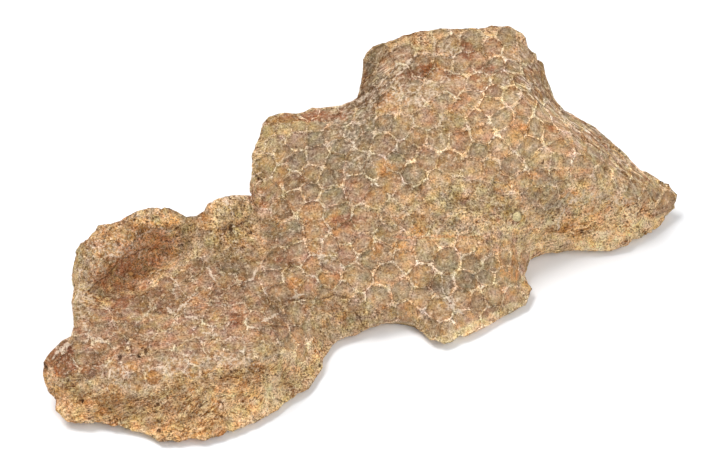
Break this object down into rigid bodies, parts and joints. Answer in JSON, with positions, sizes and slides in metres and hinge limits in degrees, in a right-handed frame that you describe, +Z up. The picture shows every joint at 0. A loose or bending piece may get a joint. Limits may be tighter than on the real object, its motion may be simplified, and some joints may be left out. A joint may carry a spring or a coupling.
{
  "type": "fossil coral head",
  "caption": "Broken piece of a massive fossil coral head: honeycomb of shallow corallites over porous broken stone, lying on a flat underside.",
  "frame": {"origin": "on the flat underside, under the middle of the bounding box", "axes": "+X towards the thin right tip, +Y towards the high broken back wall, +Z up from the table"},
  "size_m": [0.1782, 0.1158, 0.0471],
  "materials": {
    "coral_stone": "matte"
  },
  "bodies": {
    "root": {"coral_head": "coral_stone"}
  },
  "joints": []
}
